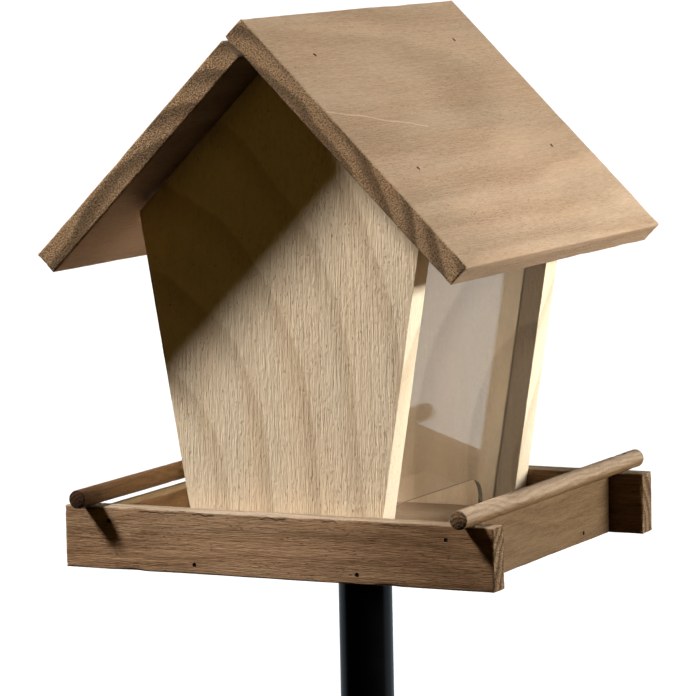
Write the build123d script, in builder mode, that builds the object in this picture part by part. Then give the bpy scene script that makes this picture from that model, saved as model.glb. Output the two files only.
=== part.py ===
"""Bird feeder on a pole: a gabled seed house with a hinged roof half, standing in a tray on a steel pole.

Millimetres. The ground is z = 0 on the pole's axis, +Z is up, the ridge runs along Y and the front
gable faces -Y. The right roof board is fixed. The left one is the lid that the seed goes in under.
"""

from build123d import *
import os
from math import atan2, cos, radians, sin

os.makedirs("parts", exist_ok=True)

# ---------------------------------------------------------------- driving dimensions
# Tray: two long boards across the front and back, two short ones between them, and a floor.
tray_bottom_z = 850.0  # height of the tray's underside above the ground
tray_length = 300.0  # along X
tray_depth = 256.0  # along Y
tray_board_t = 16.0
tray_board_h = 40.0
side_board_inset = 24.0  # from the long boards' ends to the side boards' outer faces
floor_t = 16.0
board_arris = 0.6  # small chamfer on the sawn boards

# Perches: two round rods nailed across the tops of the long boards.
perch_d = 12.0
perch_inset = 17.0  # from the long boards' ends to the rods' axes
perch_overhang = 14.0  # past the front and back boards

# Gables: five-sided panels that stand on the floor, against the long boards.
gable_t = 18.0
gable_foot_w = 128.0
gable_shoulder_w = 198.0
gable_apex_h = 326.5  # from the tray's underside

# Roof: two boards square to one another, so each lies at half a right angle.
roof_pitch = 45.0
roof_t = 16.0
roof_depth = 308.0  # along the ridge
fixed_roof_length = 211.0  # down the slope
lid_length = 191.0  # down the slope
lid_gap = 2.4  # between the closed lid and the gables
ridge_seam = 2.6  # between the lid's top end and the fixed board

# Panes: clear sheets in grooves, with a seed slot along the foot.
pane_t = 3.0
pane_inset = 14.0  # from the gables' sloping sides to the panes' outer faces
pane_edge_clearance = 0.3
pane_head_clearance = 0.3
groove_depth = 5.0
groove_clearance = 0.2  # each side of the pane
seed_slot_w = 150.0
seed_slot_h = 24.0
seed_slot_r = 23.0

# Brads: thin headed nails, sunk just below the wood.
brad_head_r = 1.4
brad_head_t = 0.8
brad_shank_r = 0.9
brad_length = 32.0
brad_sunk = 0.6
brad_clearance = 0.05
roof_brad_rows = (35.0, 133.0)  # down the slope from the fixed board's top end
tray_brad_h = 31.0  # upper brads of the long boards, above the tray's underside
floor_brad_h = 6.0  # brads into the floor's edges
front_floor_brad_x = 57.0
side_floor_brad_y = 68.0

# Wood screws.
gable_screw_x = 36.0
gable_screw_length = 36.0
gable_screw_shank_r = 1.75
gable_screw_head_r = 3.6
gable_screw_head_t = 2.2
flange_screw_count = 4
flange_screw_pcd = 66.0
flange_screw_angle = 45.0  # the first one, round from +X
flange_screw_length = 13.0
flange_screw_shank_r = 2.0
flange_screw_head_r = 3.8
flange_screw_head_t = 2.4
screw_clearance = 0.05
head_round = 0.6  # a domed head's rounding, as a share of its height

# Hinges: two small butt hinges on the lid's outer face, across the seam.
hinge_y = 80.0  # each side of the middle
hinge_length = 40.0
hinge_knuckles = 5
hinge_knuckle_r = 2.75
hinge_pin_r = 1.25
hinge_pin_clearance = 0.05
hinge_pin_head_r = 2.0
hinge_pin_head_t = 0.8
hinge_leaf_t = 1.0
hinge_lid_leaf_w = 20.0
hinge_fixed_leaf_w = 14.5
hinge_lift = 0.3  # knuckles clear of the wood
hinge_gap = 0.2  # between neighbouring knuckles
hinge_screw_y = 12.0
hinge_screw_shank_r = 1.3
hinge_screw_head_r = 2.4
hinge_screw_head_t = 1.1
hinge_screw_length = 11.0
fixed_leaf_screw_x = 8.2  # from the hinge axis
lid_leaf_screw_x = 13.0

# Pole: steel tube sections that plug together over sleeves.
pole_d = 35.0
pole_wall = 1.5
pole_sections = 3
sleeve_clearance = 0.2
sleeve_wall = 1.5
sleeve_length = 120.0
flange_d = 90.0
flange_t = 3.0
flange_spigot_length = 70.0
spigot_wall = 2.5
lock_screw_drop = 32.0  # below the pole's top
lock_screw_shank_r = 2.4
lock_screw_head_r = 4.5
lock_screw_head_t = 3.0
lock_screw_length = 12.0
rivet_drop = 30.0  # below each joint in the pole
rivet_shank_r = 2.0
rivet_head_r = 3.6
rivet_head_t = 1.2
rivet_length = 7.0

# Ground spike: a turned steel foot with a step plate.
spike_plate_d = 110.0
spike_plate_t = 5.0
spike_shank_r = 10.0
spike_shank_length = 170.0
spike_point_length = 40.0
spike_point_r = 1.5

# ---------------------------------------------------------------- places worked out from them
floor_z = tray_bottom_z + floor_t
tray_top_z = tray_bottom_z + tray_board_h
tray_inner_y = tray_depth / 2 - tray_board_t
side_outer_x = tray_length / 2 - side_board_inset
side_mid_x = side_outer_x - tray_board_t / 2
side_inner_x = side_outer_x - tray_board_t
perch_x = tray_length / 2 - perch_inset
perch_z = tray_top_z + perch_d / 2
long_board_y = tray_depth / 2 - tray_board_t / 2

gable_inner_y = tray_inner_y - gable_t
gable_mid_y = tray_inner_y - gable_t / 2
apex_z = tray_bottom_z + gable_apex_h
shoulder_z = apex_z - gable_shoulder_w / 2
side_lean = atan2((gable_shoulder_w - gable_foot_w) / 2, shoulder_z - floor_z)

lid_outer = lid_gap + roof_t  # the lid's outer face above the left slope
overshoot = lid_outer  # the fixed board runs on up to the lid's outer face

pole_top_z = tray_bottom_z - flange_t
pole_section_length = (pole_top_z - spike_plate_t) / pole_sections
pole_inner_r = pole_d / 2 - pole_wall
sleeve_r = pole_inner_r - sleeve_clearance

# Slope planes through the gables' apex: x runs down the slope, z points out of the roof.
cos_p = cos(radians(roof_pitch))
sin_p = sin(radians(roof_pitch))
fixed_slope = Plane(origin=(0, 0, apex_z), x_dir=(cos_p, 0, -sin_p), z_dir=(sin_p, 0, cos_p))
lid_slope = Plane(origin=(0, 0, apex_z), x_dir=(-cos_p, 0, -sin_p), z_dir=(-sin_p, 0, cos_p))

# Pane planes on the panes' outer faces: y runs up the pane, z points out of the house.
pane_foot_x = gable_foot_w / 2 - pane_inset / cos(side_lean)


def pane_plane(side):
    """The outer face of the pane on that side, +1 right and -1 left, from the middle of its foot."""
    return Plane(
        origin=(side * pane_foot_x, 0, floor_z),
        x_dir=(0, side, 0),
        z_dir=(side * cos(side_lean), 0, -sin(side_lean)),
    )


def pane_height(gap_above_slope):
    """The pane's height up its own slope, to just under a roof board that far above the gables."""
    out = (gap_above_slope - pane_head_clearance) - pane_foot_x * sin_p + (apex_z - floor_z) * cos_p
    return out / (sin(side_lean) * sin_p + cos(side_lean) * cos_p)


def finish(piece, name):
    """Names the piece and writes it."""
    piece.part.label = name
    export_step(piece.part, f"parts/{name}.step")


# Where the brads go in: planes on the wood's surface, z pointing out of it.
def brad_planes(points, z_dir, x_dir):
    return [Plane(origin=point, x_dir=x_dir, z_dir=z_dir) for point in points]


tray_brads = {
    side: brad_planes(
        [(x, side * tray_depth / 2, tray_bottom_z + tray_brad_h) for x in (side_mid_x, -side_mid_x)],
        (0, side, 0),
        (1, 0, 0),
    )
    for side in (-1, 1)
}
long_floor_brads = {
    side: brad_planes(
        [(x, side * tray_depth / 2, tray_bottom_z + floor_brad_h)
         for x in (front_floor_brad_x, -front_floor_brad_x)],
        (0, side, 0),
        (1, 0, 0),
    )
    for side in (-1, 1)
}
side_floor_brads = {
    side: brad_planes(
        [(side * side_outer_x, y, tray_bottom_z + floor_brad_h)
         for y in (side_floor_brad_y, -side_floor_brad_y)],
        (side, 0, 0),
        (0, 1, 0),
    )
    for side in (-1, 1)
}
perch_brads = {
    side: brad_planes(
        [(side * perch_x, y, perch_z + perch_d / 2) for y in (long_board_y, -long_board_y)],
        (0, 0, 1),
        (1, 0, 0),
    )
    for side in (-1, 1)
}
roof_brads = [
    Plane(fixed_slope.offset(roof_t) * Location((row - overshoot, y, 0)))
    for y in (gable_mid_y, -gable_mid_y)
    for row in roof_brad_rows
]

brad_hole_r = brad_shank_r + brad_clearance
brad_pocket_r = brad_head_r + brad_clearance
brad_pocket_depth = brad_sunk + brad_head_t + brad_clearance
brad_hole_depth = brad_sunk + brad_head_t + brad_length + brad_clearance


def brad_holes(planes):
    """Holes for brads driven in at those planes. Used inside a sub-part's block."""
    with Locations(*[plane.location for plane in planes]):
        CounterBoreHole(brad_hole_r, brad_pocket_r, brad_pocket_depth, depth=brad_hole_depth)


def brad_bodies(planes):
    """The brads themselves, heads sunk below those planes. Used inside a sub-part's block."""
    top_down = (Align.CENTER, Align.CENTER, Align.MAX)
    with Locations(*[plane.offset(-brad_sunk).location for plane in planes]):
        Cylinder(brad_head_r, brad_head_t, align=top_down)
        Cylinder(brad_shank_r, brad_head_t + brad_length, align=top_down)


# ---------------------------------------------------------------- tray
with BuildPart() as tray_floor:
    with BuildSketch(Plane.XY.offset(tray_bottom_z)):
        Rectangle(2 * side_inner_x, 2 * tray_inner_y)
    extrude(amount=floor_t)
    with BuildSketch(Plane.XY.offset(tray_bottom_z)):
        with GridLocations(2 * gable_screw_x, 2 * gable_mid_y, 2, 2):
            Circle(gable_screw_head_r + screw_clearance)
    extrude(amount=gable_screw_head_t + screw_clearance, mode=Mode.SUBTRACT)
    with BuildSketch(Plane.XY.offset(tray_bottom_z)):
        with GridLocations(2 * gable_screw_x, 2 * gable_mid_y, 2, 2):
            Circle(gable_screw_shank_r + screw_clearance)
    extrude(amount=floor_t, mode=Mode.SUBTRACT)
    with BuildSketch(Plane.XY.offset(tray_bottom_z)):
        with PolarLocations(flange_screw_pcd / 2, flange_screw_count, start_angle=flange_screw_angle):
            Circle(flange_screw_shank_r + screw_clearance)
    extrude(amount=flange_screw_length - flange_t + screw_clearance, mode=Mode.SUBTRACT)
    for side in (-1, 1):
        brad_holes(long_floor_brads[side])
        brad_holes(side_floor_brads[side])
finish(tray_floor, "tray_floor")

for side, name in ((-1, "tray_board_front"), (1, "tray_board_back")):
    with BuildPart() as long_board:
        with BuildSketch(Plane.XY.offset(tray_bottom_z)):
            with Locations((0, side * long_board_y)):
                Rectangle(tray_length, tray_board_t)
        extrude(amount=tray_board_h)
        chamfer(long_board.edges(), length=board_arris)
        brad_holes(tray_brads[side])
        brad_holes(long_floor_brads[side])
        brad_holes([plane for end in (-1, 1) for plane in perch_brads[end] if plane.origin.Y * side > 0])
    finish(long_board, name)

for side, name in ((-1, "tray_board_left"), (1, "tray_board_right")):
    with BuildPart() as short_board:
        with BuildSketch(Plane.XY.offset(tray_bottom_z)):
            with Locations((side * side_mid_x, 0)):
                Rectangle(tray_board_t, 2 * tray_inner_y)
        extrude(amount=tray_board_h)
        chamfer(short_board.edges().filter_by(Axis.Y), length=board_arris)
        brad_holes(side_floor_brads[side])
        brad_holes([plane for end in (-1, 1) for plane in tray_brads[end] if plane.origin.X * side > 0])
    finish(short_board, name)

for side, name in ((-1, "perch_left"), (1, "perch_right")):
    with BuildPart() as perch:
        with BuildSketch(Plane.XZ.offset(tray_depth / 2 + perch_overhang)):
            with Locations((side * perch_x, perch_z)):
                Circle(perch_d / 2)
        extrude(amount=-(tray_depth + 2 * perch_overhang))
        chamfer(perch.edges().filter_by(GeomType.CIRCLE), length=board_arris)
        brad_holes(perch_brads[side])
    finish(perch, name)

# ---------------------------------------------------------------- gables
for side, name in ((-1, "gable_front"), (1, "gable_back")):
    outer_y = tray_inner_y if side < 0 else -gable_inner_y
    with BuildPart() as gable:
        with BuildSketch(Plane.XZ.offset(outer_y)):
            with BuildLine():
                Polyline(
                    (-gable_foot_w / 2, floor_z),
                    (gable_foot_w / 2, floor_z),
                    (gable_shoulder_w / 2, shoulder_z),
                    (0, apex_z),
                    (-gable_shoulder_w / 2, shoulder_z),
                    close=True,
                )
            make_face()
        extrude(amount=-gable_t)
        # Grooves for the panes, open at both ends and stopped short of the outer face.
        for pane_side in (-1, 1):
            with BuildSketch(pane_plane(pane_side).offset(groove_clearance)):
                Rectangle(2 * (gable_inner_y + groove_depth), 2 * gable_apex_h)
            extrude(amount=-(pane_t + 2 * groove_clearance), mode=Mode.SUBTRACT)
        with BuildSketch(Plane.XY.offset(floor_z)):
            with Locations((-gable_screw_x, side * gable_mid_y), (gable_screw_x, side * gable_mid_y)):
                Circle(gable_screw_shank_r + screw_clearance)
        extrude(amount=gable_screw_length - floor_t + screw_clearance, mode=Mode.SUBTRACT)
        brad_holes([plane for plane in roof_brads if plane.origin.Y * side > 0])
    finish(gable, name)

# ---------------------------------------------------------------- roof
hinge_axis_x = ridge_seam / 2
hinge_axis_z = lid_outer + hinge_lift + hinge_knuckle_r
hinge_rows = (-hinge_screw_y, hinge_screw_y)

with BuildPart() as roof_fixed:
    with BuildSketch(fixed_slope):
        with Locations((fixed_roof_length / 2 - overshoot, 0)):
            Rectangle(fixed_roof_length, roof_depth)
    extrude(amount=roof_t)
    chamfer(roof_fixed.edges(), length=board_arris)
    brad_holes(roof_brads)
    # Pilot holes for the fixed leaves' screws, in the board's top end.
    with BuildSketch(lid_slope.offset(lid_outer)):
        with Locations(*[(hinge_axis_x - fixed_leaf_screw_x, y + row)
                         for y in (-hinge_y, hinge_y) for row in hinge_rows]):
            Circle(hinge_screw_shank_r + screw_clearance)
    extrude(amount=-hinge_screw_length, mode=Mode.SUBTRACT)
finish(roof_fixed, "roof_board_fixed")

with BuildPart() as roof_lid:
    with BuildSketch(lid_slope.offset(lid_gap)):
        with Locations((ridge_seam + lid_length / 2, 0)):
            Rectangle(lid_length, roof_depth)
    extrude(amount=roof_t)
    chamfer(roof_lid.edges(), length=board_arris)
    with BuildSketch(lid_slope.offset(lid_outer)):
        with Locations(*[(hinge_axis_x + lid_leaf_screw_x, y + row)
                         for y in (-hinge_y, hinge_y) for row in hinge_rows]):
            Circle(hinge_screw_shank_r + screw_clearance)
    extrude(amount=-hinge_screw_length, mode=Mode.SUBTRACT)
finish(roof_lid, "roof_board_lid")

# ---------------------------------------------------------------- panes
for side, name, gap in ((-1, "pane_left", lid_gap), (1, "pane_right", 0.0)):
    with BuildPart() as pane:
        with BuildSketch(pane_plane(side)):
            with Locations((0, pane_height(gap) / 2)):
                Rectangle(2 * (gable_inner_y + groove_depth - pane_edge_clearance), pane_height(gap))
            with BuildSketch(mode=Mode.SUBTRACT) as seed_slot:
                Rectangle(seed_slot_w, 2 * seed_slot_h / cos(side_lean))
                fillet(seed_slot.vertices(), radius=seed_slot_r)
        extrude(amount=-pane_t)
    finish(pane, name)

# ---------------------------------------------------------------- hinges
knuckle_pitch = hinge_length / hinge_knuckles
knuckle_length = knuckle_pitch - hinge_gap
leaf_plane = lid_slope.offset(lid_outer)
leaf_normal = Axis(leaf_plane.origin, leaf_plane.z_dir)
hinge_axis_point = lid_slope.from_local_coords(Vector(hinge_axis_x, 0, hinge_axis_z))
hinge_axis_xz = (hinge_axis_point.X, hinge_axis_point.Z)
knuckle_offsets = [(index - (hinge_knuckles - 1) / 2) * knuckle_pitch for index in range(hinge_knuckles)]

for y, place in ((-hinge_y, "front"), (hinge_y, "back")):
    # The slope plane's own y runs towards -Y, so a place along it has its sign turned.
    v = -y
    for kind, first, direction, width, screw_x in (
        ("fixed", 0, -1, hinge_fixed_leaf_w, fixed_leaf_screw_x),
        ("lid", 1, 1, hinge_lid_leaf_w, lid_leaf_screw_x),
    ):
        own = knuckle_offsets[first::2]
        others = knuckle_offsets[1 - first::2]
        with BuildPart() as leaf:
            with BuildSketch(leaf_plane):
                with Locations((hinge_axis_x + direction * width / 2, v)):
                    Rectangle(width, hinge_length - hinge_gap)
            extrude(amount=hinge_leaf_t)
            # Notches that let the other leaf's knuckles turn.
            with BuildSketch(leaf_plane):
                with Locations(*[(hinge_axis_x, v + offset) for offset in others]):
                    Rectangle(2 * (hinge_knuckle_r + hinge_lift), knuckle_pitch + hinge_gap)
            extrude(amount=hinge_leaf_t, mode=Mode.SUBTRACT)
            for offset in own:
                with BuildSketch(Plane.XZ.offset(-(y - offset) + knuckle_length / 2)):
                    with Locations(hinge_axis_xz):
                        Circle(hinge_knuckle_r)
                extrude(amount=-knuckle_length)
                # The sheet rolls up from the wood to meet its knuckle.
                with BuildSketch(leaf_plane):
                    with Locations((hinge_axis_x + direction * hinge_knuckle_r / 2, v + offset)):
                        Rectangle(hinge_knuckle_r, knuckle_length)
                extrude(amount=hinge_lift + hinge_leaf_t)
            with BuildSketch(Plane.XZ.offset(-y + hinge_length)):
                with Locations(hinge_axis_xz):
                    Circle(hinge_pin_r + hinge_pin_clearance)
            extrude(amount=-2 * hinge_length, mode=Mode.SUBTRACT)
            with BuildSketch(leaf_plane):
                with Locations(*[(hinge_axis_x + direction * screw_x, v + row) for row in hinge_rows]):
                    Circle(hinge_screw_shank_r + screw_clearance)
            extrude(amount=hinge_leaf_t, mode=Mode.SUBTRACT)
        finish(leaf, f"hinge_leaf_{kind}_{place}")

    with BuildPart() as pin:
        with BuildSketch(Plane.XZ.offset(-y + hinge_length / 2)):
            with Locations(hinge_axis_xz):
                Circle(hinge_pin_r)
        extrude(amount=-hinge_length)
        for end in (-1, 1):
            with BuildSketch(Plane.XZ.offset(-y + end * hinge_length / 2)):
                with Locations(hinge_axis_xz):
                    Circle(hinge_pin_head_r)
            extrude(amount=end * hinge_pin_head_t)
    finish(pin, f"hinge_pin_{place}")

for kind, direction, screw_x in (("fixed", -1, fixed_leaf_screw_x), ("lid", 1, lid_leaf_screw_x)):
    row_x = hinge_axis_x + direction * screw_x
    points = [(row_x, y + row) for y in (-hinge_y, hinge_y) for row in hinge_rows]
    with BuildPart() as hinge_screws:
        with BuildSketch(leaf_plane.offset(hinge_leaf_t)):
            with Locations(*points):
                Circle(hinge_screw_head_r)
        extrude(amount=hinge_screw_head_t)
        head_edges = hinge_screws.edges().filter_by(GeomType.CIRCLE).group_by(leaf_normal)[-1]
        fillet(head_edges, radius=hinge_screw_head_t * head_round)
        with BuildSketch(leaf_plane.offset(hinge_leaf_t)):
            with Locations(*points):
                Circle(hinge_screw_shank_r)
        extrude(amount=-(hinge_screw_length - screw_clearance))
    finish(hinge_screws, f"hinge_screws_{kind}")

# ---------------------------------------------------------------- brads and wood screws
for name, planes in (
    ("roof_brads", roof_brads),
    ("tray_corner_brads", tray_brads[-1] + tray_brads[1]),
    ("tray_floor_brads", sum([*long_floor_brads.values(), *side_floor_brads.values()], [])),
    ("perch_brads", perch_brads[-1] + perch_brads[1]),
):
    with BuildPart() as brads:
        brad_bodies(planes)
    finish(brads, name)

with BuildPart() as gable_screws:
    with BuildSketch(Plane.XY.offset(tray_bottom_z)):
        with GridLocations(2 * gable_screw_x, 2 * gable_mid_y, 2, 2):
            Circle(gable_screw_head_r)
    extrude(amount=gable_screw_head_t)
    with BuildSketch(Plane.XY.offset(tray_bottom_z)):
        with GridLocations(2 * gable_screw_x, 2 * gable_mid_y, 2, 2):
            Circle(gable_screw_shank_r)
    extrude(amount=gable_screw_length)
finish(gable_screws, "gable_screws")

with BuildPart() as flange_screws:
    with BuildSketch(Plane.XY.offset(pole_top_z)):
        with PolarLocations(flange_screw_pcd / 2, flange_screw_count, start_angle=flange_screw_angle):
            Circle(flange_screw_head_r)
    extrude(amount=-flange_screw_head_t)
    head_edges = flange_screws.edges().filter_by(GeomType.CIRCLE).group_by(Axis.Z)[0]
    fillet(head_edges, radius=flange_screw_head_t * head_round)
    with BuildSketch(Plane.XY.offset(pole_top_z)):
        with PolarLocations(flange_screw_pcd / 2, flange_screw_count, start_angle=flange_screw_angle):
            Circle(flange_screw_shank_r)
    extrude(amount=flange_screw_length)
finish(flange_screws, "flange_screws")

# ---------------------------------------------------------------- pole
with BuildPart() as flange:
    with BuildSketch(Plane.XY.offset(pole_top_z)):
        Circle(flange_d / 2)
        with PolarLocations(flange_screw_pcd / 2, flange_screw_count, start_angle=flange_screw_angle):
            Circle(flange_screw_shank_r + screw_clearance, mode=Mode.SUBTRACT)
    extrude(amount=flange_t)
    with BuildSketch(Plane.XY.offset(pole_top_z)):
        Circle(sleeve_r)
        Circle(sleeve_r - spigot_wall, mode=Mode.SUBTRACT)
    extrude(amount=-flange_spigot_length)
    with BuildSketch(Plane.XZ):
        with Locations((0, pole_top_z - lock_screw_drop)):
            Circle(lock_screw_shank_r + screw_clearance)
    extrude(amount=-pole_d, mode=Mode.SUBTRACT)
finish(flange, "mounting_flange")

section_bottoms = [spike_plate_t + index * pole_section_length for index in range(pole_sections)]
rivet_heights = [bottom + pole_section_length - rivet_drop for bottom in section_bottoms[:-1]]
lock_heights = [spike_plate_t + lock_screw_drop, pole_top_z - lock_screw_drop]

for index, bottom in enumerate(section_bottoms):
    with BuildPart() as section:
        with BuildSketch(Plane.XY.offset(bottom)):
            Circle(pole_d / 2)
            Circle(pole_inner_r, mode=Mode.SUBTRACT)
        extrude(amount=pole_section_length)
        for height in lock_heights:
            with BuildSketch(Plane.XZ):
                with Locations((0, height)):
                    Circle(lock_screw_shank_r + screw_clearance)
            extrude(amount=-pole_d, mode=Mode.SUBTRACT)
        for height in rivet_heights:
            with BuildSketch(Plane.XZ):
                with Locations((0, height)):
                    Circle(rivet_shank_r + screw_clearance)
            extrude(amount=-pole_d, mode=Mode.SUBTRACT)
    finish(section, f"pole_section_{index + 1}")

for index, height in enumerate(rivet_heights):
    with BuildPart() as sleeve:
        with BuildSketch(Plane.XY.offset(section_bottoms[index + 1] - sleeve_length / 2)):
            Circle(sleeve_r)
            Circle(sleeve_r - sleeve_wall, mode=Mode.SUBTRACT)
        extrude(amount=sleeve_length)
        with BuildSketch(Plane.XZ):
            with Locations((0, height)):
                Circle(rivet_shank_r + screw_clearance)
        extrude(amount=-pole_d, mode=Mode.SUBTRACT)
    finish(sleeve, f"pole_sleeve_{index + 1}")

# Round heads outside the tube, cut to its curve, with shanks through tube and sleeve.
seat_y = pole_d / 2 + screw_clearance
rivet_sizes = (rivet_shank_r, rivet_head_r, rivet_head_t, rivet_length)
lock_screw_sizes = (lock_screw_shank_r, lock_screw_head_r, lock_screw_head_t, lock_screw_length)
for name, heights, (shank_r, head_r, head_t, length) in (
    ("sleeve_rivets", rivet_heights, rivet_sizes),
    ("pole_lock_screws", lock_heights, lock_screw_sizes),
):
    with BuildPart() as pins:
        with BuildSketch(Plane.XZ.offset(-seat_y)):
            with Locations(*[(0, height) for height in heights]):
                Circle(head_r)
        extrude(amount=-head_t)
        fillet(pins.edges().filter_by(GeomType.CIRCLE).group_by(Axis.Y)[-1], radius=head_t * head_round)
        with BuildSketch(Plane.XZ.offset(-seat_y)):
            with Locations(*[(0, height) for height in heights]):
                Circle(shank_r)
        extrude(amount=length)
    finish(pins, name)

# ---------------------------------------------------------------- ground spike
with BuildPart() as spike:
    with BuildSketch(Plane.XZ):
        with BuildLine():
            Polyline(
                (0, spike_plate_t + flange_spigot_length),
                (0, -spike_shank_length - spike_point_length),
                (spike_point_r, -spike_shank_length - spike_point_length),
                (spike_shank_r, -spike_shank_length),
                (spike_shank_r, 0),
                (spike_plate_d / 2, 0),
                (spike_plate_d / 2, spike_plate_t),
                (sleeve_r, spike_plate_t),
                (sleeve_r, spike_plate_t + flange_spigot_length),
                close=True,
            )
        make_face()
    revolve(axis=Axis.Z)
    with BuildSketch(Plane.XZ):
        with Locations((0, spike_plate_t + lock_screw_drop)):
            Circle(lock_screw_shank_r + screw_clearance)
    extrude(amount=-pole_d, mode=Mode.SUBTRACT)
finish(spike, "ground_spike")
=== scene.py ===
"""Bird feeder on a pole: its looks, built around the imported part.

Metres. The ground is z = 0 on the pole's axis, +Z is up, the ridge runs along Y, the front gable faces
-Y and the hinged lid is on the -X side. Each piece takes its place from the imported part's boxes and meshes.
"""

import math

import bmesh
import bpy
from mathutils import Matrix, Vector, noise

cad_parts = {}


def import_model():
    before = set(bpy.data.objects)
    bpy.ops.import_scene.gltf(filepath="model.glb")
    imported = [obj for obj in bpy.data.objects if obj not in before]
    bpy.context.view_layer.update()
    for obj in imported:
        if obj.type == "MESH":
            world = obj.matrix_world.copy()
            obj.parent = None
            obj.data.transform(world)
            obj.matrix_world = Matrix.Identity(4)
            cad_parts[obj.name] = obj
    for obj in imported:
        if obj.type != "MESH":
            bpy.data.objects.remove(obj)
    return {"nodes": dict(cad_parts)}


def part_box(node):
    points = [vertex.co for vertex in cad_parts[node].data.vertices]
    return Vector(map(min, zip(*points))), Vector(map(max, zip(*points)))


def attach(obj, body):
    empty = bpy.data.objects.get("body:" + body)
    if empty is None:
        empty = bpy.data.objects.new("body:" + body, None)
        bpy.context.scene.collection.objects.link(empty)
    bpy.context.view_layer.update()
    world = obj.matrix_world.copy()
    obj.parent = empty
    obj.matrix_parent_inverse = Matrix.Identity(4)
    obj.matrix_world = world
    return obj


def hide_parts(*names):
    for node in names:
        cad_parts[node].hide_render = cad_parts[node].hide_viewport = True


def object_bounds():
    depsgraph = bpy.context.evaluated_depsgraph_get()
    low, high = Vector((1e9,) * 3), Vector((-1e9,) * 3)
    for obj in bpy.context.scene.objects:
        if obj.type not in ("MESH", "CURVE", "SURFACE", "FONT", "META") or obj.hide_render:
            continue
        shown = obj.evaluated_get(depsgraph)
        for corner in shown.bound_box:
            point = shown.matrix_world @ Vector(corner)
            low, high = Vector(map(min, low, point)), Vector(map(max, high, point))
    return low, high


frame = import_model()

MM = 0.001
X, Y, Z = Vector((1, 0, 0)), Vector((0, 1, 0)), Vector((0, 0, 1))
HOUSE = "stand_and_house"
LID = "lid"
nodes = frame["nodes"]
cad_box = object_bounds()


def middle(node):
    """The middle of a CAD node's box."""
    low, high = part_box(node)
    return (low + high) / 2


# Slope directions of the two roof boards, which lie square to one another.
DOWN_RIGHT = (X - Z).normalized()
DOWN_LEFT = (-X - Z).normalized()
OUT_RIGHT = (X + Z).normalized()
OUT_LEFT = (Z - X).normalized()


# ---------------------------------------------------------------- meshes
def cad_copy(node):
    """A bmesh of a CAD node's own shape, welded, with its flat faces whole."""
    shape = bmesh.new()
    shape.from_mesh(nodes[node].data)
    bmesh.ops.remove_doubles(shape, verts=shape.verts, dist=0.005 * MM)
    bmesh.ops.dissolve_limit(shape, angle_limit=math.radians(0.5), verts=shape.verts, edges=shape.edges)
    return shape


def hull_planes(shape, least_share=0.01):
    """(point, normal) of each large flat side of a shape's hull, which leaves out its small chamfers."""
    hull = shape.copy()
    bmesh.ops.delete(hull, geom=hull.faces[:], context="FACES_ONLY")
    result = bmesh.ops.convex_hull(hull, input=hull.verts)
    inside = [item for item in result["geom_interior"] if isinstance(item, bmesh.types.BMVert)]
    bmesh.ops.delete(hull, geom=inside, context="VERTS")
    bmesh.ops.dissolve_limit(hull, angle_limit=math.radians(1), verts=hull.verts, edges=hull.edges)
    total = sum(face.calc_area() for face in hull.faces)
    planes = [
        (face.calc_center_median(), face.normal.copy())
        for face in hull.faces
        if face.calc_area() > least_share * total
    ]
    hull.free()
    return planes


def cut_grid(shape, axis, pitch, edge_cuts=(1.4, 3.0, 6.0)):
    """Cuts the shape square to the axis every pitch mm, and closer by its two ends."""
    places = [vertex.co.dot(axis) / MM for vertex in shape.verts]
    low, high = min(places), max(places)
    count = max(1, round((high - low) / pitch))
    cuts = [low + (high - low) * index / count for index in range(1, count)]
    cuts = [cut for cut in cuts if low + edge_cuts[-1] < cut < high - edge_cuts[-1]]
    cuts += [low + cut for cut in edge_cuts] + [high - cut for cut in edge_cuts]
    for cut in cuts:
        if low < cut < high:
            geometry = shape.verts[:] + shape.edges[:] + shape.faces[:]
            bmesh.ops.bisect_plane(
                shape, geom=geometry, dist=0.0005 * MM, plane_co=axis * cut * MM, plane_no=axis
            )


def stretched(place, axis, stretch):
    """A place in mm, squeezed along an axis so that noise read there runs out along it."""
    along = place.dot(axis)
    return (place - axis * along + axis * along / stretch) / MM


def wear(shape, grain, rub, splinter, seed, reach=1.6, threshold=0.18):
    """Rubs the arrises down unevenly and tears splinters out along the grain. Nothing moves outwards.

    rub and splinter are depths, and reach is how far from an arris the wear runs, all in mm.
    """
    broad_wave = 14.0
    fine_wave = 2.2
    splinter_wave = 2.5
    planes = hull_planes(shape)
    offset = Vector((seed * 17.3, seed * 5.1, seed * 9.7))
    for vertex in shape.verts:
        depths = sorted(
            ((point - vertex.co).dot(normal) / MM, index) for index, (point, normal) in enumerate(planes)
        )
        (_, side), (from_arris, next_side) = depths[:2]
        if from_arris > 3 * reach:
            continue
        inward = -(planes[side][1] + planes[next_side][1]).normalized()
        near = math.exp(-((from_arris / reach) ** 2))
        broad = noise.noise(stretched(vertex.co, grain, 5) / broad_wave + offset)
        fine = noise.noise(stretched(vertex.co, grain, 6) / fine_wave - offset)
        tear = noise.noise(stretched(vertex.co, grain, 12) / splinter_wave + 2 * offset)
        torn = max(0.0, tear - threshold)
        depth = rub * (0.45 + 0.55 * broad + 0.3 * fine) + splinter * torn
        vertex.co += inward * max(0.0, depth) * near * MM


def make_piece(name, shape, body, replaced, material, sharp=32):
    """Turns a bmesh into a piece of the object that stands for CAD nodes and rides on their body."""
    bmesh.ops.recalc_face_normals(shape, faces=shape.faces)
    mesh = bpy.data.meshes.new(name)
    shape.to_mesh(mesh)
    shape.free()
    for polygon in mesh.polygons:
        polygon.use_smooth = sharp > 0
    mesh.set_sharp_from_angle(angle=math.radians(sharp))
    piece = bpy.data.objects.new(name, mesh)
    bpy.context.scene.collection.objects.link(piece)
    mesh.materials.append(material)
    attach(piece, body)
    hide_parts(*replaced)
    return piece


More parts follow.
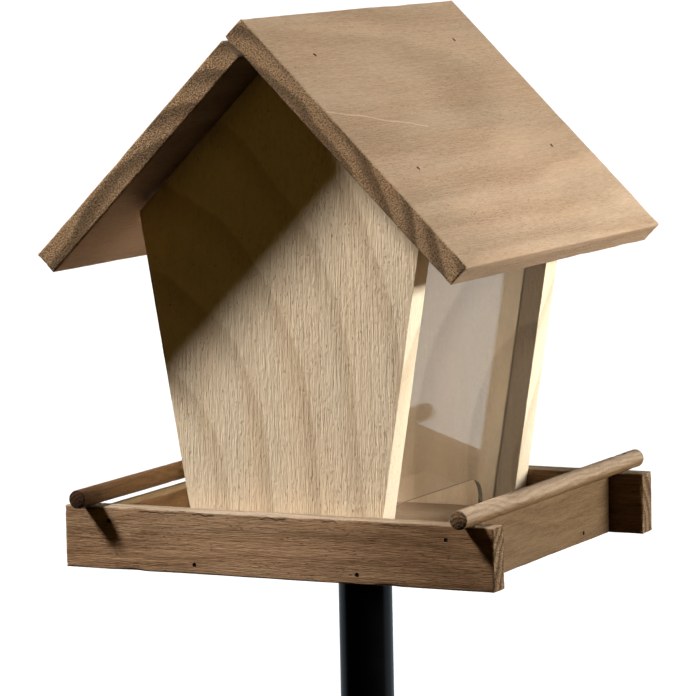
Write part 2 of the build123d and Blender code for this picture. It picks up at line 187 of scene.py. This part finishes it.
# ---------------------------------------------------------------- material building
class Look:
    """A material and the few kinds of node that its tree is written with."""

    def __init__(self, name, **constants):
        self.material = bpy.data.materials.new(name)
        self.material.use_nodes = True
        tree = self.material.node_tree
        self.nodes = tree.nodes
        self.links = tree.links
        self.shader = self.nodes["Principled BSDF"]
        self.output = self.nodes["Material Output"]
        for socket, value in constants.items():
            self.shader.inputs[socket.replace("_", " ")].default_value = value

    def add(self, kind, inputs=(), **settings):
        """A node of that kind, with its settings, and its input sockets fed in order or by name."""
        node = self.nodes.new("ShaderNode" + kind)
        for key, value in settings.items():
            setattr(node, key, value)
        pairs = inputs.items() if isinstance(inputs, dict) else enumerate(inputs)
        for key, value in pairs:
            self.feed(node.inputs[key], value)
        return node

    def feed(self, socket, value):
        """Links a socket to the input, or sets the input to a plain value."""
        if isinstance(value, bpy.types.NodeSocket):
            self.links.new(value, socket)
        else:
            socket.default_value = value

    def math(self, operation, *values, clamp=False):
        """The result of an operation on numbers."""
        return self.add("Math", values, operation=operation, use_clamp=clamp).outputs[0]

    def vector(self, operation, *values):
        """The result of an operation on vectors, which is a number for a dot product or a length."""
        node = self.add("VectorMath", values, operation=operation)
        return node.outputs["Value" if operation in ("DOT_PRODUCT", "LENGTH") else "Vector"]

    def place(self):
        """Object coordinates, in metres."""
        return self.add("TexCoord").outputs["Object"]

    def facing(self, axis):
        """How far the surface faces along an axis, from -1 to 1."""
        return self.vector("DOT_PRODUCT", self.add("TexCoord").outputs["Normal"], axis)

    def axes(self, origin, across, along, out):
        """Object coordinates in mm from origin, x across the board, y along its grain, z out of it."""
        from_origin = self.vector("SUBTRACT", self.place(), origin)
        in_mm = self.vector("MULTIPLY", from_origin, (1 / MM,) * 3)
        parts = [self.vector("DOT_PRODUCT", in_mm, axis) for axis in (across, along, out)]
        return self.add("CombineXYZ", parts).outputs[0]

    def noise(self, place, scale, detail=2.0, roughness=0.5):
        """Noise from 0 to 1 with features about 1 / scale across."""
        sockets = {"Vector": place, "Scale": scale, "Detail": detail, "Roughness": roughness}
        return self.add("TexNoise", sockets).outputs[0]

    def squeeze(self, place, x, y, z):
        """The place with each of its own axes scaled."""
        return self.vector("MULTIPLY", place, (x, y, z))

    def band(self, value, low, high, to_low=0.0, to_high=1.0, smooth=True):
        """Maps low..high to to_low..to_high, and holds the ends."""
        kind = "SMOOTHSTEP" if smooth else "LINEAR"
        node = self.add("MapRange", interpolation_type=kind, clamp=True)
        for index, number in enumerate((value, low, high, to_low, to_high)):
            self.feed(node.inputs[index], number)
        return node.outputs[0]

    def mix(self, factor, first, second, blend="MIX"):
        """The first colour blended towards the second."""
        node = self.add("Mix", data_type="RGBA", blend_type=blend)
        for name, value in (("Factor_Float", factor), ("A_Color", first), ("B_Color", second)):
            socket = next(item for item in node.inputs if item.identifier == name)
            self.feed(socket, (*value, 1) if isinstance(value, tuple) else value)
        return next(item for item in node.outputs if item.identifier == "Result_Color")

    def tint(self, tone, factors, share):
        """The tone multiplied by three factors, over a share of the surface."""
        return self.mix(share, tone, self.mix(1.0, tone, factors, "MULTIPLY"))

    def bump(self, height, distance):
        """A normal from a height of 0 to 1 that stands for a distance in metres."""
        return self.add("Bump", {"Height": height, "Distance": distance}).outputs[0]


# ---------------------------------------------------------------- wood
def late_wood(look, place, shifted, pith, pitch, profile, bend, dip):
    """1 in the dark late wood of each growth ring and 0 in the pale early wood.

    The rings stand about the pith line, bent by slow noise that runs out along the grain. profile says where
    in a ring's width the dark part sets in, is full, and starts to end.
    """
    slow = look.noise(look.squeeze(shifted, 0.012, 0.0045, 0.012), 1.0, 2.0)
    sway = look.band(slow, 0.25, 0.75, -bend, bend, smooth=False)
    wavy = look.noise(look.squeeze(shifted, 0.09, 0.011, 0.09), 1.0, 2.0)
    ripple = look.band(wavy, 0.25, 0.75, -bend / 9, bend / 9, smooth=False)
    from_pith = look.vector("SUBTRACT", place, (pith[0], 0.0, pith[1]))
    sunk = look.math("MULTIPLY", look.vector("DOT_PRODUCT", place, Y), dip)
    tilted = look.vector("ADD", from_pith, look.add("CombineXYZ", [0.0, 0.0, sunk]).outputs[0])
    from_line = look.vector("LENGTH", look.squeeze(tilted, 1.0, 0.0, 1.0))
    radius = look.math("ADD", look.math("ADD", from_line, sway), ripple)
    ring = look.math("FRACT", look.math("DIVIDE", radius, pitch))
    rise, crest, fall = profile
    return look.math("MULTIPLY", look.band(ring, rise, crest), look.band(ring, fall, 1.0, 1.0, 0.0))


def pore_dashes(look, shifted, late):
    """1 in the pores: short dashes along the grain that gather in bands and in the late wood."""
    dash = look.noise(look.squeeze(shifted, 1.9, 0.30, 1.9), 1.0, 0.0)
    gathered = look.band(look.noise(look.squeeze(shifted, 0.03, 0.012, 0.03), 1.0, 1.0), 0.42, 0.66)
    crowd = look.math("MULTIPLY_ADD", gathered, 0.05, look.math("MULTIPLY", late, 0.01))
    return look.band(look.math("ADD", dash, crowd), 0.79, 0.85)


def wood(name, origin, across, along, out, tones, pith, ring_pitch=7.0, ring_contrast=0.5, fibre=1.0,
         pores=0.5, cloud=0.5, end_tone=0.42, relief=0.12, bend=14.0, dip=0.0, fineness=1.15, weather=None,
         end_tint=(1.40, 1.30, 1.10), ring_profile=(0.12, 0.74, 0.76), seed=0.0):
    """Sawn softwood as a solid: growth rings about a pith line, fibres and pores along the grain.

    tones are the light and dark wood colours. pith is the ring centre in the board's own mm, across and out
    of it, and dip is how fast it sinks along the grain, which draws the rings out into arches. fineness is
    how many fibres there are to the mm. weather is a function that changes the tone by place and by facing.
    """
    look = Look(name, Specular_IOR_Level=0.22)
    light, dark = tones
    place = look.axes(origin, across, along, out)
    shifted = look.vector("ADD", place, (seed * 31.7, seed * 53.9, seed * 11.3))
    late = late_wood(look, place, shifted, pith, ring_pitch, ring_profile, bend, dip)
    pore = pore_dashes(look, shifted, late)

    # Fibres: fine streaks, long along the grain, and coarser ones under them, over mottle and slow patches.
    fine = look.noise(look.squeeze(shifted, fineness, 0.085, fineness), 1.0, 3.0, 0.6)
    coarse = look.noise(look.squeeze(shifted, 0.38, 0.007, 0.38), 1.0, 3.0, 0.6)
    mottle = look.noise(look.squeeze(shifted, 0.55, 0.30, 0.55), 1.0, 3.0, 0.65)
    patches = look.noise(look.squeeze(shifted, 0.028, 0.007, 0.028), 1.0, 2.0)

    # Each layer darkens the wood by its own share.
    shade = look.math("MULTIPLY", late, ring_contrast)
    for layer, low, high, share in (
        (patches, 0.30, 0.70, cloud * 0.6),
        (coarse, 0.30, 0.70, 0.26 * fibre),
        (fine, 0.34, 0.66, 0.48 * fibre),
        (mottle, 0.30, 0.70, 0.20),
    ):
        shade = look.math("MULTIPLY_ADD", look.band(layer, low, high), share, shade)
    tone = look.mix(look.band(shade, 0.05, 1.35, smooth=False), light, dark)
    hue = look.band(look.noise(look.squeeze(shifted, 0.045, 0.006, 0.045), 1.0, 1.0), 0.35, 0.65)
    tone = look.tint(tone, (1.03, 0.96, 0.90), look.math("MULTIPLY", hue, 0.5))
    pore_tone = (dark[0] * 0.50, dark[1] * 0.36, dark[2] * 0.24)
    tone = look.mix(look.math("MULTIPLY", pore, pores), tone, pore_tone)

    # Sawn ends are darker and show the pores as dots.
    sawn_end = look.band(look.math("ABSOLUTE", look.facing(along)), 0.55, 0.85)
    dots = look.band(look.noise(look.squeeze(shifted, 0.95, 0.3, 0.95), 1.0, 2.0, 0.7), 0.36, 0.60)
    rings_seen = look.band(late, 0.0, 1.0, 1.25, 0.72)
    end_shade = look.math("MULTIPLY", look.band(dots, 0.0, 1.0, end_tone, 1.0), rings_seen)
    end_grey = look.add("CombineXYZ", [end_shade] * 3).outputs[0]
    end = look.mix(1.0, look.mix(1.0, tone, end_tint, "MULTIPLY"), end_grey, "MULTIPLY")
    tone = look.mix(sawn_end, tone, end)
    if weather is not None:
        tone = weather(look, tone, place, shifted)
    look.feed(look.shader.inputs["Base Color"], tone)

    rough = look.band(fine, 0.2, 0.8, 0.62, 0.86, smooth=False)
    look.feed(look.shader.inputs["Roughness"], rough)
    height = fine
    for layer, share in (
        (coarse, 0.8), (pore, -1.1), (mottle, 0.45), (look.math("MULTIPLY", dots, sawn_end), 1.2),
    ):
        height = look.math("MULTIPLY_ADD", layer, share, height)
    look.feed(look.shader.inputs["Normal"], look.bump(height, relief * 4 * MM))
    return look.material


# The light and the dark tone of each stock, in linear colour.
ROOF_TONES = (0.390, 0.278, 0.184), (0.212, 0.139, 0.082)
BOARD_TONES = (0.54, 0.35, 0.205), (0.22, 0.122, 0.056)
SIDE_TONES = (0.185, 0.119, 0.066), (0.086, 0.050, 0.024)
# A darker, redder copy of the stain: painted shade for the left board and the left rod, which stand in shade.
LEFT_SHADE_TONES = (0.160, 0.080, 0.026), (0.072, 0.032, 0.009)
PALE_TONES = (0.93, 0.785, 0.58), (0.64, 0.50, 0.335)
PERCH_TONES = (0.40, 0.300, 0.215), (0.19, 0.128, 0.076)
# What the tone functions multiply a tone by: painted top light, a paler eave, more stain, painted underside
# shade.
# Painted light from above: how much lighter faces that look up are painted.
TOP_LIGHT_FACTORS = (1.35, 1.75, 2.35)
EAVE_PALER_FACTORS = (1.26, 1.28, 1.32)
MORE_STAIN = (0.48, 0.42, 0.34)
# Painted shade: how much darker faces that look down are painted.
UNDERSIDE_SHADE_FACTORS = (0.55, 0.44, 0.30)


def light_painted_on_tops(look, tone, place, shifted):
    """Painted light: faces that look up are painted lighter and greyer, standing in for light from above."""
    return look.tint(tone, TOP_LIGHT_FACTORS, look.band(look.facing(Z), 0.45, 0.85))


def shade_painted_underneath(look, tone, place, shifted):
    """Painted shade: faces that look down are painted darker."""
    return look.tint(tone, UNDERSIDE_SHADE_FACTORS, look.band(look.facing(Z), -0.5, 0.3, 1.0, 0.0))


def paler_towards_eave(look, tone, place, shifted):
    """A roof board's outer face is paler towards the eave, except by its front end."""
    parts = look.add("SeparateXYZ", [place])
    outer = look.band(parts.outputs["Z"], 6.5, 7.5)
    paler = look.math("MULTIPLY", look.band(parts.outputs["X"], -20.0, 80.0), outer)
    paler = look.math("MULTIPLY", look.band(parts.outputs["Y"], -150.0, -50.0, 0.15, 1.0), paler)
    return look.tint(tone, EAVE_PALER_FACTORS, paler)


def scratch(look, place, start, end, width):
    """1 inside a straight scratch between two places given in the board's own mm, 0 outside it."""
    start = Vector((*start, 0))
    run = Vector((*end, 0)) - start
    from_start = look.squeeze(look.vector("SUBTRACT", place, start), 1.0, 1.0, 0.0)
    along = look.vector("DOT_PRODUCT", from_start, run)
    share = look.math("DIVIDE", along, run.length_squared, clamp=True)
    nearest = look.vector("MULTIPLY", look.add("CombineXYZ", [share] * 3).outputs[0], run)
    off = look.vector("LENGTH", look.vector("SUBTRACT", from_start, nearest))
    return look.band(off, width * 0.3, width, 1.0, 0.0)


def scratched_roof(look, tone, place, shifted):
    """The fixed roof board: the paler eave, one dark scratch down the slope and one light one along it."""
    tone = paler_towards_eave(look, tone, place, shifted)
    slow = look.noise(look.squeeze(place, 0.0, 0.03, 0.0), 1.0, 0.0)
    waver = look.math("MULTIPLY_ADD", slow, 6.0, -3.0)
    bent = look.vector("ADD", place, look.add("CombineXYZ", [waver, 0.0, 0.0]).outputs[0])
    dark = scratch(look, place, (30, -45), (73, -42), 0.5)
    light = scratch(look, bent, (-25, -152), (-4, -42), 0.8)
    tone = look.mix(look.math("MULTIPLY", dark, 0.28), tone, (0.08, 0.05, 0.03))
    return look.mix(look.math("MULTIPLY", light, 0.26), tone, (0.75, 0.60, 0.44))


def stain_with_painted_light_and_shade(look, tone, place, shifted):
    """Long tray boards: more stain to the right, painted top light, and painted shade in cracks under the top
    arris.
    """
    along = look.add("SeparateXYZ", [place]).outputs["Y"]
    flank = look.band(look.math("ABSOLUTE", look.facing(X)), 0.55, 0.85, 1.0, 0.0)
    taken_up = look.math("MULTIPLY", look.band(along, -20.0, 120.0, 0.0, 0.9), flank)
    tone = look.tint(tone, MORE_STAIN, taken_up)
    tone = light_painted_on_tops(look, tone, place, shifted)
    # Painted shade in the cracks: they waver between two depths below the top and come and go along the
    # board.
    top = (middle("tray_board_front").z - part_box("tray_board_front")[0].z) / MM
    height = look.add("SeparateXYZ", [place]).outputs["X"]
    waver = look.noise(look.squeeze(shifted, 0.0, 0.16, 0.0), 1.0, 2.0)
    line = look.band(waver, 0.3, 0.7, top - 2.6, top - 1.0, smooth=False)
    off_line = look.math("ABSOLUTE", look.math("SUBTRACT", height, line))
    stretch = look.band(look.noise(look.squeeze(shifted, 0.0, 0.035, 0.0), 1.0, 1.0), 0.50, 0.56)
    crack_shade = look.math("MULTIPLY", look.band(off_line, 0.2, 0.6, 1.0, 0.0), stretch)
    return look.mix(look.math("MULTIPLY", crack_shade, 0.85), tone, (0.02, 0.012, 0.006))


def wooden_board(node, body, slot, axes, tones, pith, seed, pitch=(9.0, 3.0, 8.0), rub=0.5, splinter=1.0,
                 **grain):
    """One board: the CAD node's shape, cut fine and worn, with its own piece of timber on it.

    axes are the directions across it, along its grain and out of it. pitch is how finely it is cut on each.
    """
    across, along, out = axes
    shape = cad_copy(node)
    for axis, step in zip(axes, pitch):
        cut_grid(shape, axis, step)
    wear(shape, along, rub, splinter, seed)
    material = wood(node + "_wood", middle(node), across, along, out, tones, pith, seed=seed, **grain)
    return make_piece(node + "_worn", shape, body, [node], material)


roof_grain = dict(ring_pitch=15, ring_contrast=0.36, fibre=0.75, pores=0.4, bend=7.0, fineness=1.7)
wooden_board(
    "roof_board_fixed", HOUSE, "stained_pine", (DOWN_RIGHT, Y, OUT_RIGHT), ROOF_TONES, pith=(-30, -150),
    seed=1, dip=0.03, weather=scratched_roof, **roof_grain,
)
wooden_board(
    "roof_board_lid", LID, "stained_pine", (DOWN_LEFT, Y, OUT_LEFT), ROOF_TONES, pith=(40, -150),
    seed=2, dip=-0.03, weather=paler_towards_eave, **roof_grain,
)
for node, seed, pith_side in (("gable_front", 3, -108), ("gable_back", 4, 92)):
    wooden_board(
        node, HOUSE, "pale_wood", (X, Z, -Y), PALE_TONES, pith=(pith_side, -75), seed=seed,
        pitch=(8.0, 4.0, 8.0), rub=0.25, splinter=0.4, ring_pitch=34, ring_contrast=0.62,
        ring_profile=(0.50, 0.92, 0.93), fibre=0.32, pores=0.42, cloud=0.25, relief=0.22, fineness=1.5,
        bend=5.0, dip=0.6,
    )
# The front and back boards: more stain to the right, painted top light, and painted shade in the cracks under
# the top arris.
for node, seed, out in (("tray_board_front", 5, -Y), ("tray_board_back", 6, Y)):
    wooden_board(
        node, HOUSE, "stained_pine", (Z, X, out), BOARD_TONES, pith=(-35, -60), seed=seed,
        pitch=(5.0, 2.0, 8.0), splinter=2.2, ring_pitch=9, ring_contrast=0.35, fibre=1.15, pores=0.7,
        relief=0.26, fineness=2.4, weather=stain_with_painted_light_and_shade, end_tint=(0.95, 0.98, 1.0),
    )
# The left board takes the darker copy of the stain, painted shade; both side boards get painted light on
# their tops.
for node, seed, out, tones in (
    ("tray_board_left", 7, -X, LEFT_SHADE_TONES),
    ("tray_board_right", 8, X, SIDE_TONES),
):
    wooden_board(
        node, HOUSE, "stained_pine", (Z, Y, out), tones, pith=(-30, -70), seed=seed, pitch=(5.0, 2.5, 8.0),
        ring_pitch=9, ring_contrast=0.25, fibre=0.8, pores=0.7, fineness=1.6, weather=light_painted_on_tops,
    )
wooden_board(
    "tray_floor", HOUSE, "stained_pine", (Y, X, Z), ROOF_TONES, pith=(20, -160), seed=9, ring_pitch=14,
    ring_contrast=0.3, fibre=0.7,
)


# ---------------------------------------------------------------- perches
def perch(node, tones, seed, weather=None):
    """A round rod turned from sawn stock: slightly uneven, with dents along it."""
    unevenness = 0.07
    dent_depth = 0.8
    dent_threshold = 0.28
    centre = middle(node)
    shape = cad_copy(node)
    cut_grid(shape, Y, 3.0, (0.4, 0.9, 1.6))
    offset = Vector((seed * 7.1, seed * 3.3, seed))
    for vertex in shape.verts:
        from_axis = vertex.co - centre
        from_axis.y = 0
        waver = noise.noise(stretched(vertex.co, Y, 5) / 9 + offset)
        dent = max(0.0, noise.noise(stretched(vertex.co, Y, 3) / 3.5 - offset) - dent_threshold)
        vertex.co -= from_axis.normalized() * (unevenness * (1 + waver) + dent_depth * dent) * MM
    material = wood(
        node + "_wood", centre, X, Y, Z, tones, pith=(2, -9), seed=seed, ring_pitch=3.2, ring_contrast=0.35,
        fibre=0.6, cloud=0.6, end_tone=0.35, end_tint=(0.62, 0.50, 0.36), weather=weather,
    )
    return make_piece(node + "_worn", shape, HOUSE, [node], material, sharp=40)


# The left rod takes the darker copy of the stain, painted shade, and the right rod has painted shade on its
# underside.
perch("perch_left", LEFT_SHADE_TONES, 10)
perch("perch_right", PERCH_TONES, 11, shade_painted_underneath)


# ---------------------------------------------------------------- panes
def clear_acrylic():
    """Clear sheet that lets lamps through, with faint drawn lines, dust and dull specks."""
    sheet_tint = (0.97, 0.97, 0.955, 1)
    shadow_tint = (0.74, 0.73, 0.71, 1)
    look = Look("clear_acrylic_look", Transmission_Weight=1.0, IOR=1.49, Base_Color=sheet_tint)
    place = look.axes((0, 0, 0), X, Y, Z)
    lines = look.noise(look.squeeze(place, 0.02, 0.45, 0.004), 1.0, 2.0)
    dust = look.noise(place, 0.35, 3.0, 0.7)
    drawn = look.band(lines, 0.3, 0.7, 0.01, 0.03)
    rough = look.math("MULTIPLY_ADD", look.band(dust, 0.45, 0.75), 0.05, drawn)
    speck = look.band(look.noise(place, 0.9, 1.0), 0.74, 0.78)
    rough = look.math("MULTIPLY_ADD", speck, 0.5, rough)
    look.feed(look.shader.inputs["Roughness"], rough)
    look.feed(look.shader.inputs["Normal"], look.bump(lines, 0.008 * MM))
    through = look.add("BsdfTransparent", {"Color": shadow_tint}).outputs[0]
    shadow = look.add("LightPath").outputs["Is Shadow Ray"]
    mixed = look.add("MixShader", [shadow, look.shader.outputs[0], through]).outputs[0]
    look.links.new(mixed, look.output.inputs["Surface"])
    return look.material


acrylic = clear_acrylic()
for node in ("pane_left", "pane_right"):
    shape = cad_copy(node)
    bevelled = [edge for edge in shape.edges if edge.calc_face_angle(0) > math.radians(60)]
    bmesh.ops.bevel(shape, geom=bevelled, offset=0.25 * MM, segments=2, profile=0.6, affect="EDGES")
    make_piece(node + "_sheet", shape, HOUSE, [node], acrylic, sharp=0)


# ---------------------------------------------------------------- metal
def metal(name, colour, roughness, spread, grain_scale, relief, metallic=1.0, specular=0.5, speck=None):
    """Plain metal or paint on metal: cloudy colour, uneven roughness and a fine relief.

    roughness varies by spread each way, grain_scale is in features to the mm and relief in mm.
    """
    look = Look(name, Metallic=metallic, Specular_IOR_Level=specular)
    place = look.axes((0, 0, 0), X, Y, Z)
    cloud = look.noise(place, 0.06, 4.0, 0.6)
    grain = look.noise(place, grain_scale, 3.0, 0.6)
    dark = tuple(value * 0.72 for value in colour)
    tone = look.mix(look.band(cloud, 0.3, 0.7), colour, dark)
    if speck is not None:
        spots = look.band(look.noise(place, grain_scale * 0.4, 2.0, 0.7), 0.62, 0.72)
        tone = look.mix(spots, tone, speck)
    look.feed(look.shader.inputs["Base Color"], tone)
    rough = look.band(grain, 0.25, 0.75, roughness - spread, roughness + spread, smooth=False)
    look.feed(look.shader.inputs["Roughness"], rough)
    look.feed(look.shader.inputs["Normal"], look.bump(grain, relief * MM))
    return look.material


SLOT_LOOKS = {
    "zinc_steel": metal(
        "zinc_look", (0.36, 0.365, 0.37), roughness=0.46, spread=0.10, grain_scale=0.9, relief=0.05,
        speck=(0.22, 0.225, 0.235),
    ),
    "dark_brads": metal(
        "brad_look", (0.075, 0.06, 0.05), roughness=0.55, spread=0.12, grain_scale=2.5, relief=0.06,
        speck=(0.16, 0.08, 0.04),
    ),
    "black_powder_coat": metal(
        "powder_coat_look", (0.003, 0.003, 0.003), roughness=0.24, spread=0.05, grain_scale=1.6,
        relief=0.03, metallic=0.0, specular=0.2,
    ),
    "bare_steel_tube": metal(
        "bare_tube_look", (0.52, 0.52, 0.53), roughness=0.32, spread=0.10, grain_scale=0.5, relief=0.03,
    ),
}
# The CAD nodes that no piece replaces keep their own shape.
for node, part in nodes.items():
    if part.hide_render:
        continue
    slot = part.data.materials[0].name.split(".")[0]
    part.material_slots[0].material = SLOT_LOOKS[slot]


# ---------------------------------------------------------------- floor, lights, camera
def floor():
    """A plain pale floor at the spike's point, wide enough to fill the view."""
    half_side = 60.0
    shape = bmesh.new()
    bmesh.ops.create_grid(shape, x_segments=4, y_segments=4, size=half_side)
    mesh = bpy.data.meshes.new("floor")
    shape.to_mesh(mesh)
    shape.free()
    ground = bpy.data.objects.new("floor", mesh)
    ground.location.z = cad_box[0].z
    look = Look("floor_look", Roughness=0.9, Specular_IOR_Level=0.2)
    tone = look.mix(look.noise(look.place(), 0.8, 3.0), (0.90, 0.94, 0.98), (0.93, 0.97, 1.0))
    look.feed(look.shader.inputs["Base Color"], tone)
    # From below it lets the view through, so that the underside of the tray can be seen.
    beneath = look.add("NewGeometry").outputs["Backfacing"]
    clear = look.add("BsdfTransparent").outputs[0]
    mixed = look.add("MixShader", [beneath, look.shader.outputs[0], clear]).outputs[0]
    look.links.new(mixed, look.output.inputs["Surface"])
    mesh.materials.append(look.material)
    bpy.context.scene.collection.objects.link(ground)
    ground.visible_diffuse = False
    ground.visible_glossy = False
    ground.visible_transmission = False


def backdrop(name, first, last, glow, in_reflections=True):
    """Part of a round studio wall between two bearings, seen only in reflections or only through glass."""
    radius = 5.0
    bearings = 24
    heights = 12
    lowest = -70
    highest = 80
    centre = Vector((0, 0, cad_box[1].z))
    shape = bmesh.new()
    rows = []
    for row in range(heights + 1):
        rise = math.radians(lowest + (highest - lowest) * row / heights)
        ring = []
        for column in range(bearings + 1):
            bearing = math.radians(first + (last - first) * column / bearings)
            level = math.sin(bearing) * X + math.cos(bearing) * Y
            ring.append(shape.verts.new(centre + radius * (math.cos(rise) * level + math.sin(rise) * Z)))
        rows.append(ring)
    for low, high in zip(rows, rows[1:]):
        for column in range(bearings):
            shape.faces.new((low[column], low[column + 1], high[column + 1], high[column]))
    mesh = bpy.data.meshes.new(name)
    shape.to_mesh(mesh)
    shape.free()
    wall = bpy.data.objects.new(name, mesh)
    look = Look(
        name + "_look", Base_Color=(0, 0, 0, 1), Specular_IOR_Level=0.0, Emission_Color=(*glow, 1),
        Emission_Strength=1.0,
    )
    mesh.materials.append(look.material)
    bpy.context.scene.collection.objects.link(wall)
    wall.visible_camera = False
    wall.visible_diffuse = False
    wall.visible_glossy = in_reflections
    wall.visible_transmission = not in_reflections
    wall.visible_shadow = False


def sun(name, towards, strength, angle, colour):
    """A far lamp that shines along a direction, as wide in the sky as the angle in degrees."""
    lamp = bpy.data.lights.new(name, "SUN")
    lamp.energy = strength
    lamp.angle = math.radians(angle)
    lamp.color = colour
    holder = bpy.data.objects.new(name, lamp)
    holder.rotation_euler = Vector(towards).to_track_quat("-Z", "Y").to_euler()
    bpy.context.scene.collection.objects.link(holder)


def softbox(name, place, aim, sides, power, colour):
    """A rectangular lamp, itself out of sight and out of reflections."""
    lamp = bpy.data.lights.new(name, "AREA")
    lamp.shape = "RECTANGLE"
    lamp.size, lamp.size_y = sides
    lamp.energy = power
    lamp.color = colour
    holder = bpy.data.objects.new(name, lamp)
    holder.location = place
    holder.rotation_euler = (aim - place).to_track_quat("-Z", "Y").to_euler()
    holder.visible_camera = False
    holder.visible_glossy = False
    bpy.context.scene.collection.objects.link(holder)


def world():
    """White surroundings that only the camera sees."""
    surroundings = bpy.data.worlds.new("surroundings")
    surroundings.use_nodes = True
    background = surroundings.node_tree.nodes["Background"]
    background.inputs["Color"].default_value = (1, 1, 1, 1)
    background.inputs["Strength"].default_value = 1.1
    bpy.context.scene.world = surroundings
    surroundings.cycles_visibility.diffuse = False
    surroundings.cycles_visibility.glossy = False
    surroundings.cycles_visibility.transmission = False


def camera():
    """The camera, from the front right and a little above the ridge, aimed low on the house."""
    azimuth = math.radians(26.26)
    elevation = math.radians(6.51)
    roll = math.radians(-1.17)
    distance = 2.7167
    focal_length = 216.5
    above_tray_bottom = 131.0
    left_of_pole = 9.1
    tray_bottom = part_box("tray_board_front")[0].z
    target = Vector((-left_of_pole * MM, 0, tray_bottom + above_tray_bottom * MM))
    level_way = -math.sin(azimuth) * X + math.cos(azimuth) * Y
    forward = math.cos(elevation) * level_way - math.sin(elevation) * Z
    level = forward.cross(Z).normalized()
    upright = level.cross(forward)
    right = math.cos(roll) * level + math.sin(roll) * upright
    up = right.cross(forward)
    lens = bpy.data.cameras.new("camera")
    lens.lens = focal_length
    lens.sensor_width = 36.0
    lens.clip_end = 200
    turned = Matrix((right, up, -forward)).transposed().to_4x4()
    eye = bpy.data.objects.new("camera", lens)
    eye.matrix_world = Matrix.Translation(target - forward * distance) @ turned
    bpy.context.scene.collection.objects.link(eye)
    bpy.context.scene.camera = eye


floor()
world()
backdrop("bright_wall", -104, 68, (0.42, 0.50, 0.56))
backdrop("dim_wall", 68, 256, (0.01, 0.01, 0.01))
backdrop("wall_through_glass", -180, 180, (1.0, 1.0, 1.0), in_reflections=False)

# The key comes from the front left, and a wide low softbox on the right lights the roof and the strips of
# the gables. Warm fills stand for light off the ground.
house = middle("gable_front") * 0.5 + middle("gable_back") * 0.5
strip = Vector((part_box("pane_right")[1].x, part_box("gable_front")[0].y, house.z - 80 * MM))
sun("key", towards=(1.4, 1.0, -2.0), strength=5.4, angle=9.5, colour=(1.0, 0.95, 0.91))
softbox(
    "side", place=Vector((1.5, 0.57, house.z + 0.31)), aim=strip, sides=(1.1, 0.24), power=46,
    colour=(0.98, 1.0, 0.98),
)
softbox(
    "right_low", place=Vector((1.6, 0.3, 0.45)), aim=strip, sides=(1.0, 1.0), power=4.5,
    colour=(1.0, 0.70, 0.40),
)
softbox(
    "front_fill", place=house + Vector((-0.5, -3.0, 0.3)), aim=house, sides=(2.5, 2.5), power=4.5,
    colour=(1.0, 0.64, 0.13),
)
softbox(
    "back_low", place=house + Vector((-0.6, 1.8, -1.3)), aim=house, sides=(1.2, 1.2), power=66,
    colour=(1.0, 0.62, 0.34),
)
camera()
bpy.context.scene.view_settings.view_transform = "Standard"
